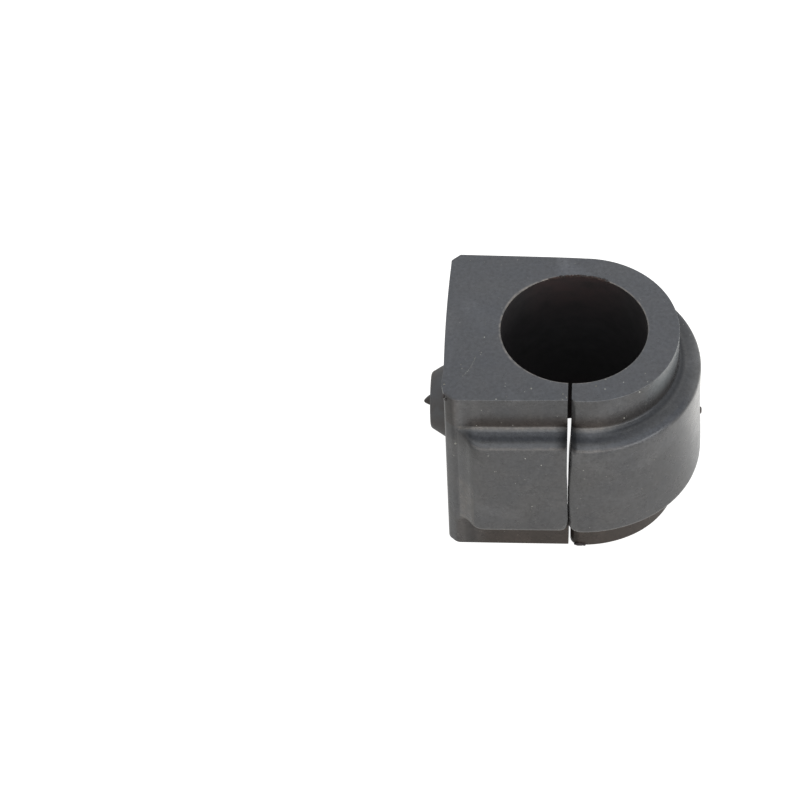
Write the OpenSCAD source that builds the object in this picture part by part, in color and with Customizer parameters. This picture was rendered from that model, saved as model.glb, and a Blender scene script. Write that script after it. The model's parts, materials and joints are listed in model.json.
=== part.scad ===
// Split rubber bushing that holds a sway bar against a car's frame.
// The bar runs along Z, the flat base faces -X, the round back faces +X and the split is on
// the -Y side. The origin is the middle of the bore. The bushing stands on one of its ends.

/* [Bar bore] */
// Diameter of the bore that grips the bar
bore_d = 25; // [16:0.5:27]
// Length of the bushing along the bar
body_l = 37.2; // [32:0.1:60]
// Bevel of the bore's two rims
rim_bevel = 0.25; // [0.1:0.05:0.5]

/* [Body section] */
// Distance from the bar's axis to the flat base
axis_h = 21.5; // [19:0.1:30]
// Width of the body across its sides, at the bar's axis
body_w = 33.3; // [31.5:0.1:44]
// How far each side spreads outwards on its way to the base
side_flare = 0.25; // [0.1:0.05:1]
// How far the round back's centre lies beyond the bar's axis
back_shift = 1.4; // [0.5:0.1:4]
// Base corner chamfer, measured along the side
corner_x = 1.5; // [0.5:0.1:2.5]
// Base corner chamfer, measured along the base
corner_y = 1.4; // [0.5:0.1:3]

/* [Raised band] */
// Length of the band where it leaves the body
band_l = 23; // [16:0.1:27]
// Height of the band above the body
band_h = 3.9; // [3.2:0.1:5.5]
// Slope of the band's two flanks, in degrees
band_draft = 8; // [2:0.5:12]
// Radius of the band's outer edges
crest_r = 1.6; // [0.5:0.1:2.5]
// Radius of the hollow where a flank meets the body
cove_r = 0.9; // [0.3:0.1:1.5]

/* [Band shoulders] */
// Distance from the base at which the band has its full height
shoulder_x = 6.8; // [6.2:0.1:9]
// Radius of the outer corner of each shoulder
shoulder_r = 3; // [2:0.1:3.1]
// Steepest slope of each shoulder, in degrees
shoulder_slope = 60; // [50:1:65]

/* [Split] */
// Distance of the split from the bar's axis, towards the base
split_shift = 0.4; // [0:0.05:1]
// Width of the split over its upper part
split_w = 0.6; // [0.5:0.05:1.2]
// Width of the split at its lower end
split_low_w = 0.45; // [0.35:0.05:1]
// Width of the split where its lips come closest
split_pinch = 0.3; // [0.2:0.05:0.35]
// How far below mid-length the lips come closest
pinch_drop = 4; // [1:0.5:6]
// Height over which the lips close, above the closest place
pinch_run = 12; // [6:0.5:14]
// Radius of the band's lips beside the split
band_lip_r = 1.2; // [0.4:0.1:1.8]
// Radius of the body's lip on the round side of the split
body_lip_r = 0.9; // [0.3:0.1:1.2]

/* [Locating boss] */
// Diameter of the boss where it leaves the base
boss_root_d = 13.4; // [12:0.1:17]
// Diameter of the boss at its top
boss_top_d = 9.6; // [6:0.1:11]
// Height of the boss
boss_h = 3.2; // [1.5:0.1:4.5]
// Radius of the boss's top edge
boss_edge_r = 0.7; // [0.2:0.1:0.9]
// Diameter of the stub that the mould's gate leaves on the boss
gate_d = 1.7; // [1:0.1:2.5]
// Height of that stub
gate_h = 0.9; // [0.4:0.1:1.5]

/* [Vent pip] */
// Diameter of the pip that the mould's vent leaves on the round back
pip_d = 1.3; // [0.8:0.1:2]
// Height of the pip above the band
pip_h = 0.25; // [0.15:0.05:0.5]

/* [Hidden] */
$fn = 96;
// Overlap that joins one shape to the next
eps = 0.05;
// How far cutters run past the faces that they cut
past = 1;
end_z = body_l / 2;
base_x = -axis_h;
side_y = body_w / 2;
crest_y = side_y + band_h;
back_x = back_shift + crest_y;

// Edge radius of the band: the height of its centre, and where it touches the flank
edge_z = band_l / 2 - (band_h - crest_r) * tan(band_draft) - crest_r / cos(band_draft);
touch_depth = crest_r * (1 - sin(band_draft));
touch_z = edge_z + crest_r * cos(band_draft);

// Shoulder outline, as distance from the base and height above the side. Its outer corner has
// its centre at corner_c and ends at bend, where a hollow takes over and runs down to foot.
corner_c = [shoulder_x, band_h - shoulder_r];
steep = [-sin(shoulder_slope), cos(shoulder_slope)];
bend = corner_c + shoulder_r * steep;
foot = [corner_x, 0];
chord = bend - foot;
foot_slope = 2 * atan2(chord[1], chord[0]) - shoulder_slope;
hollow_r = norm(chord) / (2 * sin((shoulder_slope - foot_slope) / 2));
hollow_c = bend + hollow_r * steep;

// Walls of the split: the one on the base's side is straight, and the other leans towards it
split_base_x = -split_shift - split_w / 2;
split_back_x = split_base_x + split_w;
split_low_x = split_base_x + split_low_w;
pinch_x = split_base_x + split_pinch;

// Section of the band, from its crest at x = 0 down to the given depth at -x
module band_section(depth) {
    polygon([
        [-depth, -band_l / 2], [-band_h, -band_l / 2], [-touch_depth, -touch_z],
        [-crest_r, -edge_z], [0, -edge_z], [0, edge_z], [-crest_r, edge_z],
        [-touch_depth, touch_z], [-band_h, band_l / 2], [-depth, band_l / 2]
    ]);
    for (side = [-1, 1])
        translate([-crest_r, side * edge_z]) circle(crest_r);
}

// Section of the hollows between the flanks and the body, on the same axes
module cove_section() {
    for (side = [0, 1])
        mirror([0, side]) translate([-band_h, band_l / 2]) difference() {
            translate([-eps, -cove_r]) square([cove_r + eps, 2 * cove_r]);
            translate([cove_r, cove_r]) circle(cove_r);
            translate([0, -2 * cove_r]) rotate(-band_draft) square([2 * cove_r, 2 * cove_r]);
        }
}

// Band round the back
module back_band() {
    translate([back_shift, 0, 0]) rotate([0, 0, -90])
        rotate_extrude(angle = 180) translate([crest_y, 0]) {
            band_section(band_h + eps);
            cove_section();
        }
}

// Band along one side, from its shoulder to the round back
module side_band() {
    translate([back_shift, crest_y, 0]) rotate([90, 0, -90])
        linear_extrude(axis_h - shoulder_x + back_shift) mirror([1, 0]) {
            band_section(band_h + eps);
            cove_section();
        }
}

// Outer corner of one shoulder, at the end of the side band
module shoulder_corner() {
    translate([corner_c[0], corner_c[1], 0]) rotate([0, 0, 90])
        rotate_extrude(angle = shoulder_slope) intersection() {
            translate([shoulder_r, 0]) band_section(band_h);
            translate([0, -body_l]) square([shoulder_r + past, 2 * body_l]);
        }
}

// Hollow of one shoulder: a ring section kept only between the foot and the bend
module shoulder_hollow() {
    intersection() {
        translate([hollow_c[0], hollow_c[1], 0])
            rotate_extrude() translate([hollow_r, 0]) mirror([1, 0]) band_section(2 * band_h);
        linear_extrude(2 * band_l, center = true)
            polygon([foot, bend, corner_c, [shoulder_x, -past], [corner_x, -past]]);
    }
}

// Hollows beside one shoulder: the side's own run on straight, cut to the shoulder's outline
module shoulder_coves() {
    intersection() {
        translate([shoulder_x, band_h, 0]) rotate([90, 0, -90])
            linear_extrude(shoulder_x - corner_x) mirror([1, 0]) cove_section();
        linear_extrude(2 * band_l, center = true) difference() {
            polygon([
                foot, bend, [shoulder_x, bend[1]], [shoulder_x, -past], [corner_x, -past]
            ]);
            translate(hollow_c) circle(hollow_r);
        }
    }
}

module side_with_shoulder() {
    side_band();
    translate([base_x, side_y, 0]) {
        shoulder_corner();
        shoulder_hollow();
        shoulder_coves();
    }
}

// Body: flat base with chamfered corners, spreading sides and round back
module body() {
    linear_extrude(body_l, center = true) {
        polygon([
            [base_x, -side_y - side_flare + corner_y], [base_x + corner_x, -side_y - side_flare],
            [0, -side_y], [back_shift, -side_y], [back_shift, side_y], [0, side_y],
            [base_x + corner_x, side_y + side_flare], [base_x, side_y + side_flare - corner_y]
        ]);
        translate([back_shift, 0]) circle(side_y);
    }
}

// Boss that locates the bushing on the frame, with the stub of the gate on its top
module boss() {
    slope = atan2((boss_root_d - boss_top_d) / 2, boss_h);
    edge_x = boss_top_d / 2 - boss_edge_r * (1 - sin(slope)) / cos(slope);
    edge_h = boss_h - boss_edge_r;
    translate([base_x, 0, 0]) rotate([0, -90, 0]) {
        rotate_extrude() {
            polygon([
                [0, -past], [boss_root_d / 2, -past], [boss_root_d / 2, 0],
                [edge_x + boss_edge_r * cos(slope), edge_h + boss_edge_r * sin(slope)],
                [edge_x, edge_h], [edge_x, boss_h], [0, boss_h]
            ]);
            translate([edge_x, edge_h]) circle(boss_edge_r);
        }
        translate([0, 0, boss_h - eps]) cylinder(h = gate_h + eps, d1 = gate_d, d2 = gate_d / 4);
    }
}

module vent_pip() {
    translate([back_x - eps, 0, 0]) rotate([0, 90, 0])
        cylinder(h = pip_h + eps, d1 = pip_d, d2 = pip_d / 2);
}

module bar_bore() {
    cylinder(h = body_l + 2 * past, d = bore_d, center = true);
    for (end = [0, 1])
        mirror([0, 0, end]) translate([0, 0, end_z - rim_bevel])
            cylinder(h = rim_bevel + past, d1 = bore_d, d2 = bore_d + 2 * (rim_bevel + past));
}

// Waste cut from a lip: the corner at the origin, with the split along y and the surface along x
module lip_waste(r) {
    difference() {
        translate([-eps, -past]) square([r + eps, r + past]);
        translate([r, r]) circle(r);
    }
}

module split_cut() {
    rotate([90, 0, 0]) linear_extrude(crest_y + past)
        polygon([
            [split_base_x, -end_z - past], [split_base_x, end_z + past],
            [split_back_x, end_z + past], [split_back_x, pinch_run - pinch_drop],
            [pinch_x, -pinch_drop], [split_low_x, -end_z], [split_low_x, -end_z - past]
        ]);
    linear_extrude(band_l, center = true) {
        translate([split_base_x, -crest_y]) mirror([1, 0]) lip_waste(band_lip_r);
        translate([pinch_x, -crest_y]) lip_waste(band_lip_r);
    }
    translate([split_back_x, -side_y, band_l / 2 + cove_r])
        linear_extrude(end_z) lip_waste(body_lip_r);
    translate([split_low_x, -side_y, -band_l / 2 - cove_r - end_z])
        linear_extrude(end_z) lip_waste(body_lip_r);
}

module bushing() {
    color("#3b3d3f") difference() {
        union() {
            body();
            back_band();
            side_with_shoulder();
            mirror([0, 1, 0]) side_with_shoulder();
            boss();
            vent_pip();
        }
        bar_bore();
        split_cut();
    }
}

bushing();
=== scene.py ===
import json
import math
import random

import bmesh
import bpy
from mathutils import Matrix, Vector, noise
from mathutils.bvhtree import BVHTree


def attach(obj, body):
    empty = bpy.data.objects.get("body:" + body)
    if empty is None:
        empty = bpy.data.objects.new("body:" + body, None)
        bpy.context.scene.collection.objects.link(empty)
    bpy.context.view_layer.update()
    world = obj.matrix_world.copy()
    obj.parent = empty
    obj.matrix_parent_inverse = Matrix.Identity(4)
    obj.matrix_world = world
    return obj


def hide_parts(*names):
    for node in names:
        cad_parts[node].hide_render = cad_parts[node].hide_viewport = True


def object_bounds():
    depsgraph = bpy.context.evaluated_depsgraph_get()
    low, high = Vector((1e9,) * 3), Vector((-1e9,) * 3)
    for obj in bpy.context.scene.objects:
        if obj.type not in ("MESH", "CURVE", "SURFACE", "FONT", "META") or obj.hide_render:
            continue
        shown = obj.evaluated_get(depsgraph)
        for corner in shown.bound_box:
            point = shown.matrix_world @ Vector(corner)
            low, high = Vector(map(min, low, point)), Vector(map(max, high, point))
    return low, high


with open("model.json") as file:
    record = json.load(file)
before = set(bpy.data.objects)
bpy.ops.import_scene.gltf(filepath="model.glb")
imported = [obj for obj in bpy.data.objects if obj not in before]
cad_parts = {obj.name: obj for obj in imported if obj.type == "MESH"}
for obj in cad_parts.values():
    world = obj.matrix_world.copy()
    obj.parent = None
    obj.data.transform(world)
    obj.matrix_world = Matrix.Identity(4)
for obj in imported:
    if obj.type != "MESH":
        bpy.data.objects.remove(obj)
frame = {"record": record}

bl_info = {
    "name": "Sway bar bushing",
    "version": (1, 0, 0),
    "blender": (4, 5, 0),
    "location": "View3D > Sidebar > Bushing",
    "description": "Split rubber bushing for a sway bar, with its studio",
    "category": "Mesh",
}

MM = 0.001
CAD_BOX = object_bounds()
MOUNTS = {mount["name"]: mount for mount in frame["record"]["mounts"]}
BORE_RADIUS = MOUNTS["bore"]["dims"]["r_mm"] * MM
HALF_LENGTH = CAD_BOX[1][2]
BASE_X = -MOUNTS["base_seat"]["pos_m"][0]
# The round back's centre lies this far off the bar's axis, towards the split
BACK_OFF = 0.13 * MM
# Columns of points round each lip of the split
LIP_COLUMNS = 9


def length(name, description, default):
    return bpy.props.FloatProperty(
        name=name, description=description, default=default,
        subtype="DISTANCE", unit="LENGTH", precision=5)


def colour(name, description, default):
    return bpy.props.FloatVectorProperty(
        name=name, description=description, default=default,
        subtype="COLOR", size=3, min=0, max=1)


def watts(name, description, default):
    return bpy.props.FloatProperty(
        name=name, description=description, default=default, min=0, unit="POWER")


def amount(name, description, default):
    return bpy.props.FloatProperty(
        name=name, description=description, default=default, min=0, max=1, subtype="FACTOR")


class BodySizes(bpy.types.PropertyGroup):
    """Sizes of the moulded body and its band"""
    bore_radius: length("Bore radius", "Radius of the bar bore", BORE_RADIUS)
    half_length: length("Half length", "Half the bushing's length along the bar", HALF_LENGTH)
    base_distance: length("Base distance", "From the bar's axis to the flat base", BASE_X)
    side_y: length("Half width", "From the bar's axis to each side", 16.75 * MM)
    base_bulge: length("Base bulge", "How far the base swells in its middle", 0.36 * MM)
    back_shift: length("Back shift", "From the bar's axis to the round back's centre", 1.6 * MM)
    back_reach: length("Back radius", "Radius of the round back, along its middle", 16.27 * MM)
    back_half: length("Back half width", "Half the round back's width", 16.88 * MM)
    chamfer_x: length("Chamfer along side", "Base corner chamfer along the side", 1.5 * MM)
    chamfer_y: length("Chamfer along base", "Base corner chamfer along the base", 1.4 * MM)
    corner_round: length("Near corner rounding", "Rounding of the near chamfer", 1.5 * MM)
    corner_round_far: length("Far corner rounding", "Rounding of the far chamfer", 0.45 * MM)
    end_round: length("End rounding", "Rounding of the two ends' edges", 0.12 * MM)
    band_half: length("Band half length", "Half the band's length at its root", 11.5 * MM)
    band_height: length("Band height", "Height of the band above the body", 3.9 * MM)
    band_draft: bpy.props.FloatProperty(
        name="Band draft", description="Slope of the band's flanks",
        default=math.radians(8), subtype="ANGLE", unit="ROTATION")
    crest_round: length("Crest rounding", "Rounding of the band's outer edges", 1.35 * MM)
    root_round: length("Root hollow", "Hollow where the flanks meet the body", 0.9 * MM)
    lip_band: length("Band lip", "Rounding of the band's lips at the split", 1.25 * MM)
    lip_sharp: length("Sharp lip", "Rounding of the base side's lip along the band", 0.3 * MM)
    lip_corner: length("Lip corner", "Rounding of the same lip at the band's lower edge", 1.9 * MM)
    lip_back: length("Back lip", "Rounding of the body's lip on the round side", 0.9 * MM)
    lip_base: length("Base lip", "Rounding of the body's lip on the base side", 0.15 * MM)
    lip_sink: length("Sunken lips", "How far the lips sink at the split", 0.35 * MM)
    split_lean: length("Split lean", "How far the split leans inside, below mid-length", 0.35 * MM)
    corner_bulge: length("Corner bulge", "How far the base swells by its near upper corner",
                         0.33 * MM)
    back_swell: length("Back swell", "How far the round back swells below mid-length", 0.4 * MM)


class DetailSizes(bpy.types.PropertyGroup):
    """Sizes of the boss and of the marks left by the mould"""
    boss_root: length("Boss root radius", "Radius of the boss at the base", 6.75 * MM)
    boss_top: length("Boss top radius", "Radius of the boss at its top", 4.8 * MM)
    boss_height: length("Boss height", "Height of the boss", 3.3 * MM)
    boss_round: length("Boss edge rounding", "Rounding of the boss's top edge", 0.8 * MM)
    gate_radius: length("Gate stub radius", "Radius of the gate's stub", 0.95 * MM)
    gate_height: length("Gate stub height", "Height of the gate's stub", 1.3 * MM)
    pip_radius: length("Vent pip radius", "Radius of the vent's pip", 0.65 * MM)
    pip_height: length("Vent pip height", "Height of the vent's pip", 0.25 * MM)


class Finish(bpy.types.PropertyGroup):
    """Colours and gloss of the rubber"""
    rubber: colour("Rubber", "Main colour of the skin", (0.070, 0.071, 0.074))
    rubber_cloud: colour("Cloudy rubber", "Paler clouds in the skin", (0.078, 0.077, 0.077))
    # Painted shade: a brown darkening for the hollows by the band's root, under the band and by the
    # near corner
    rubber_shade: colour("Brown film", "Brown film in the hollows", (0.040, 0.031, 0.025))
    # Painted highlight with some wear: a pale line along the band's crest, root and shoulder, and
    # round the bore's upper rim
    rubber_worn_highlight: colour("Worn edge", "Bare rubber along worn edges", (0.215, 0.190, 0.165))
    # Painted shade: the bore's wall is a darker copy of the rubber, for the shade deep in the bore
    bore: colour("Bore", "Colour of the bore's wall", (0.0205, 0.0188, 0.0192))
    # Painted light: a paler, browner colour for the far wall near the bore's mouths, where light gets
    # in
    bore_mouth: colour("Bore mouth", "Colour of the bore's wall near its mouths",
                       (0.036, 0.025, 0.025))
    boss: colour("Boss", "Main colour of the boss", (0.064, 0.067, 0.072))
    boss_brown: colour("Boss film", "Brown patches on the boss", (0.046, 0.040, 0.037))
    flash: colour("Flash", "Colour of the torn flash", (0.013, 0.008, 0.007))
    flash_pale: colour("Pale flash", "Paler shreds of the flash", (0.060, 0.036, 0.030))
    dust: colour("Dust", "Colour of the dust specks", (0.34, 0.34, 0.31))
    dust_dark: colour("Dark dust", "Darker specks", (0.16, 0.15, 0.13))
    roughness: amount("Roughness", "Roughness of the skin", 0.28)
    grain: amount("Grain", "Depth of the fine grain", 0.10)


class Studio(bpy.types.PropertyGroup):
    """Floor, lamps and camera"""
    floor: colour("Floor", "Colour of the floor", (0.50, 0.48, 0.45))
    sky: colour("Sky", "Colour of the room's light", (0.91, 0.955, 1.0))
    floor_glow: amount("Floor brightness", "Share of the floor's white that shadows leave", 0.88)
    mirror_glow: amount("Mirrored floor", "The same share where the floor is mirrored", 0.33)
    pool_glow: amount("Mirrored pool", "The same share in the bright patch on the right", 0.79)
    sky_level: amount("Sky level", "Level of the room's light", 0.53)
    lens: bpy.props.FloatProperty(
        name="Focal length", description="Focal length of the camera",
        default=147.056, subtype="DISTANCE_CAMERA")
    front_power: watts("Front lamp", "Power of the low lamp in front", 3.0)
    key_power: watts("High lamp", "Power of the high soft lamp in front", 4.2)
    right_power: watts("Right lamp", "Power of the low soft lamp on the right", 3.3)
    pool_power: watts("Floor lamp", "Power of the lamp that lights the floor on the right", 3.4)


# ---------------------------------------------------------------- shapes

SHOULDER = (
    (1.5, 0.40), (2.17, 0.62), (2.6, 0.92), (3.2, 1.44), (3.8, 2.10),
    (4.35, 2.85), (4.9, 3.35), (5.7, 3.75), (6.6, 3.90))
FAR_SIDE = ((-20.0, 17.27), (-10.0, 17.09), (-3.0, 16.94), (0.0, 16.84), (1.6, 16.74))
SPLIT_BACK = (
    (-18.6, -0.28), (-15.4, -0.28), (-14.3, -0.33), (-13.6, -0.59), (-12.6, -0.60), (-11.0, -0.58),
    (-8.0, -0.57), (-5.5, -0.60), (-1.5, -0.65), (1.7, -0.60), (3.0, -0.53), (4.3, -0.44),
    (6.0, -0.34), (8.0, -0.26), (11.0, -0.18), (13.5, -0.13), (18.6, -0.10))
SPLIT_BASE = (
    (-18.6, -0.56), (-15.2, -0.57), (-14.3, -0.59), (-13.6, -0.61), (-12.4, -0.62), (-8.0, -0.62),
    (-5.0, -0.66), (-3.4, -0.70), (-1.0, -0.71), (1.3, -0.72), (3.0, -0.79), (7.0, -0.79),
    (9.0, -0.79), (11.0, -0.76), (13.0, -0.755), (16.8, -0.75), (18.6, -0.72))
# A pale scratch on the upper end, from one place to the other
SCRATCH = ((-16.5, -6.9), (-18.45, -11.3))


TOP_SPECKS = (
    (-6.92, -13.88, 0.15), (-1.56, -15.01, 0.14), (-1.61, -16.2, 0.13), (-12.66, -16.4, 0.13),
    (5.46, -11.59, 0.13), (5.41, -13.73, 0.13), (3.90, -13.09, 0.12), (-21.45, -13.24, 0.20))
SIDE_SPECKS = ((-8.92, 11.15, 0.17), (-19.67, 7.60, 0.18), (11.15, 18.0, 0.17), (8.66, 13.11, 0.14))


def along(table, at):
    """Smooth value of a table of (place, value) at one place."""
    if at <= table[0][0]:
        return table[0][1]
    if at >= table[-1][0]:
        return table[-1][1]
    for i in range(len(table) - 1):
        if at <= table[i + 1][0]:
            break
    x0, y0 = table[i]
    x1, y1 = table[i + 1]
    before = table[max(i - 1, 0)]
    after = table[min(i + 2, len(table) - 1)]
    span = x1 - x0
    m0 = (y1 - before[1]) / (x1 - before[0]) * span
    m1 = (after[1] - y0) / (after[0] - x0) * span
    t = (at - x0) / span
    t2, t3 = t * t, t * t * t
    return ((2 * t3 - 3 * t2 + 1) * y0 + (t3 - 2 * t2 + t) * m0
            + (3 * t2 - 2 * t3) * y1 + (t3 - t2) * m1)


def spread(start, stop, count):
    """Evenly spaced values from start to stop, both included."""
    return [start + (stop - start) * i / (count - 1) for i in range(count)]


def end_rows(s):
    """Rows of one half, from mid-length to the end: (height, share of the band, edge inset)."""
    slope = math.tan(s.band_draft)
    lean = math.cos(s.band_draft)
    crest = s.crest_round
    edge = s.band_half - (s.band_height - crest) * slope - crest / lean
    rows = [(z, 1.0, 0.0) for z in spread(0, edge * 0.96, 8)]
    for turn in spread(0, math.pi / 2 - s.band_draft, 11):
        z = edge + crest * math.sin(turn)
        rows.append((z, 1 - crest * (1 - math.cos(turn)) / s.band_height, 0.0))
    top = rows[-1]
    root = s.root_round
    centre = s.band_half - root * slope + root / lean
    first = root * (1 - math.sin(s.band_draft)) / s.band_height
    flank_z = s.band_half - first * s.band_height * slope
    for share in (0.25, 0.5, 0.75):
        rows.append((top[0] + (flank_z - top[0]) * share,
                     top[1] + (first - top[1]) * share, 0.0))
    for turn in spread(math.pi / 2 - s.band_draft, 0, 9):
        z = centre - root * math.sin(turn)
        rows.append((z, root * (1 - math.cos(turn)) / s.band_height, 0.0))
    r = s.end_round
    land = rows[-1][0]
    last = s.half_length - r
    for share in (0.04, 0.10, 0.16, 0.22, 0.28, 0.34, 0.42, 0.52, 0.65, 0.80, 0.95):
        rows.append((land + (last - land) * share, 0.0, 0.0))
    for turn in spread(0, math.pi / 2, 6):
        rows.append((last + r * math.sin(turn), 0.0, r * (1 - math.cos(turn))))
    return rows


def all_rows(s):
    half = end_rows(s)
    lower = [(-z, share, inset) for z, share, inset in reversed(half[1:])]
    return lower + half


def corner(points, at, before, after, r, count):
    """Adds a rounded corner at a point between two directions, with the outward normals."""
    before, after = before.normalized(), after.normalized()
    turn = before.angle_signed(after)
    reach = r * math.tan(abs(turn) / 2)
    start = at - before * reach
    normal = Vector((-before.y, before.x))
    centre = start - normal * r
    for t in spread(0, 1, count):
        n = normal.copy()
        n.rotate(Matrix.Rotation(-turn * t, 2))
        p = centre + n * r
        points.append((p.x, p.y, n.x, n.y, 0.0))


def near_lip_sink(s, x, z):
    """How far the base side's surface sinks towards the split, most at the upper end."""
    return s.lip_sink * (0.56 + 0.42 * z / s.half_length) * math.exp(-(x / (8 * MM)) ** 2)


def back_lip_sink(s, x, y, z, share):
    """How far the round side's surface sinks towards the split, less on the band."""
    away = math.hypot(x - 0.5 * MM, y + s.side_y) / (7 * MM)
    depth = s.lip_sink * (0.8 + 0.25 * z / s.half_length)
    return depth * (1 - 0.9 * share) * math.exp(-away * away)


def outline(s):
    """Columns of the body without the lips: (x, y, normal x, normal y, height of the band)."""
    base = -s.base_distance
    foot = base + s.chamfer_x

    def far_side(x):
        return along(FAR_SIDE, x / MM) * MM

    def band(x, side):
        rise = along(SHOULDER, (x - base) / MM) * MM - SHOULDER[0][1] * MM
        room = s.band_height / (SHOULDER[-1][1] - SHOULDER[0][1]) / MM
        return max(0.0, rise * room)

    full = base + SHOULDER[-1][0] * MM
    steps = spread(-2.95 * MM, full, 11) + spread(full, foot + 0.8 * MM, 28)[1:]
    near = [(x, -s.side_y, 0.0, -1.0, band(x, s.side_y)) for x in steps]
    far = [(x, far_side(x), 0.0, 1.0, band(x, far_side(x))) for x in reversed(steps)]
    far += [(x, far_side(x), 0.0, 1.0, s.band_height) for x in (-1.1 * MM, 0.1 * MM)]

    def base_corner(side_point, r):
        """Both rounded corners of one chamfer, from the side to the base."""
        made = []
        end = Vector((base, side_point.y + s.chamfer_y))
        corner(made, side_point, Vector((-1, 0)), end - side_point, r, 6)
        corner(made, end, end - side_point, Vector((0, 1)), r, 6)
        return made

    near += base_corner(Vector((foot, -s.side_y)), s.corner_round)
    wide = far_side(foot)
    mirrored = []
    for x, y, nx, ny, rise in reversed(base_corner(Vector((foot, -wide)), s.corner_round_far)):
        mirrored.append((x, -y, nx, -ny, rise))
    low, high = near[-1][1], mirrored[0][1]
    flat = []
    for y in spread(low, high, 26)[1:-1]:
        flat.append((base - base_bulge(s, y), y, -1.0, 0.0, 0.0))
    back = []
    for a in spread(math.pi / 2, -math.pi / 2, 131):
        nx, ny = math.cos(a), math.sin(a)
        x = s.back_shift + s.back_reach * nx
        if ny < 0 and x < 2.0 * MM:
            continue
        back.append((x, -BACK_OFF + s.back_half * ny, nx, ny, s.band_height))
    return near + flat + mirrored + far + back


def base_bulge(s, y):
    """The base swells a little in its middle."""
    across = y / (15.2 * MM)
    return s.base_bulge * max(0.0, 1 - across * across)


def bore_at(s, z, inset):
    """Radius of the bore at one height, a little wider at its worn lower mouth."""
    worn = 1.5 * inset + 0.2 * MM * fade(-15 * MM, -18.6 * MM, z) if z < 0 else 0
    return s.bore_radius + inset + worn


def bushing_grid(s):
    """Outer and inner points, as lists of columns of rows."""
    rows = all_rows(s)
    outer, inner = [], []
    turns = spread(0, math.pi / 2, LIP_COLUMNS)

    def inner_point(x, z, inset):
        r = bore_at(s, z, inset)
        return (x, -math.sqrt(r * r - x * x), z)

    def lip(sign, table, on_land):
        columns = []
        for turn in turns:
            out_column, in_column = [], []
            for z, share, inset in rows:
                if sign > 0:
                    r = on_land + (s.lip_band - on_land) * share
                    r *= 1 + 0.9 * fade(-6 * MM, -11.5 * MM, z)
                else:
                    on_band = s.lip_sharp * (0.2 + 0.8 * fade(5 * MM, 9 * MM, z))
                    on_band += (s.lip_corner - s.lip_sharp) * fade(-7 * MM, -11 * MM, z)
                    on_band += 0.25 * MM * fade(8.8 * MM, 10.6 * MM, z)
                    r = on_land + (on_band - on_land) * share
                wall = along(table, z / MM) * MM + sign * inset
                x = wall + sign * r * (1 - math.cos(turn))
                depth = r * (1 - math.sin(turn)) + inset
                y = s.side_y + s.band_height * share
                if sign > 0:
                    y = s.back_half + BACK_OFF + s.band_height * share
                    y -= back_lip_sink(s, x, -s.side_y, z, share)
                else:
                    y -= near_lip_sink(s, x, z)
                out_column.append((x, depth - y, z))
                if sign > 0:
                    lean = 0.7 * s.split_lean * fade(-6 * MM, -8.5 * MM, z)
                else:
                    lean = s.split_lean * (0.5 * fade(15 * MM, 8 * MM, z)
                                           + 0.65 * fade(3.5 * MM, 1 * MM, z))
                lean *= fade(-13.5 * MM, -12 * MM, z)
                in_column.append(inner_point(wall + (x - wall) * 0.75 - lean, z, inset))
            columns.append((out_column, in_column))
        return columns

    for out_column, in_column in lip(-1, SPLIT_BASE, s.lip_base):
        outer.append(out_column)
        inner.append(in_column)
    for x, y, nx, ny, rise in outline(s):
        out_column, in_column = [], []
        angle = math.atan2(y, x)
        for z, share, inset in rows:
            off = rise * share - inset
            if nx < -0.66 and y < 0:
                off += s.corner_bulge * fade(-0.66, -0.95, nx) * fade(-9 * MM, -13 * MM, y) * fade(
                    -15.6 * MM, -13.4 * MM, y) * fade(16.2 * MM, 18.4 * MM, z)
            if nx > 0:
                off += s.back_swell * fade(0.3, 1, nx) * fade(5 * MM, -10 * MM, z)
            if ny < -0.2 and x > 0:
                off -= back_lip_sink(s, x, y, z, share)
            elif ny < -0.9 and y < 0:
                off -= near_lip_sink(s, x, z)
            out_column.append((x + nx * off, y + ny * off, z))
            r = bore_at(s, z, inset)
            in_column.append((r * math.cos(angle), r * math.sin(angle), z))
        outer.append(out_column)
        inner.append(in_column)
    for out_column, in_column in reversed(lip(1, SPLIT_BACK, s.lip_back)):
        outer.append(out_column)
        inner.append(in_column)
    return outer, inner


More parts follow.
